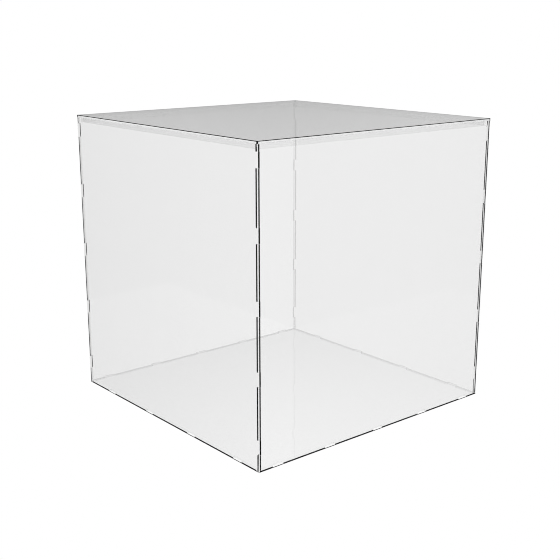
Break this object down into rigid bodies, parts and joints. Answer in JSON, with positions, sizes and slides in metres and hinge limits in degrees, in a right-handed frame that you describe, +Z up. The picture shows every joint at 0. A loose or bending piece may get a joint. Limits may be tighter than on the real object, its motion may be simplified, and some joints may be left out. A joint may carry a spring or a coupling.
{
  "type": "acrylic display cube",
  "caption": "Clear square display case of finger-jointed acrylic sheet with a flat base and a plain lid that lifts off.",
  "frame": {"origin": "on the ground under the centre of the case", "axes": "+Z up, the way the lid lifts; the front wall faces -Y and the right wall faces +X"},
  "size_m": [0.61, 0.61, 0.6],
  "materials": {
    "base_acrylic": "clear, polished faces and laser-cut edges",
    "wall_acrylic": "clear, polished faces and laser-cut edges",
    "lid_acrylic": "clear, polished faces and laser-cut edges",
    "rim_acrylic": "clear, saw-cut strip with polished faces"
  },
  "bodies": {
    "case": {"base_panel": "base_acrylic", "front_wall": "wall_acrylic", "back_wall": "wall_acrylic", "right_wall": "wall_acrylic", "left_wall": "wall_acrylic"},
    "lid": {"lid_panel": "lid_acrylic", "lid_rim_front": "rim_acrylic", "lid_rim_back": "rim_acrylic", "lid_rim_right": "rim_acrylic", "lid_rim_left": "rim_acrylic"}
  },
  "joints": [
    {"name": "lid_lift", "type": "slide", "parent": "case", "child": "lid", "axis": [0, 0, 1], "range_m": [0, 0.2]}
  ]
}
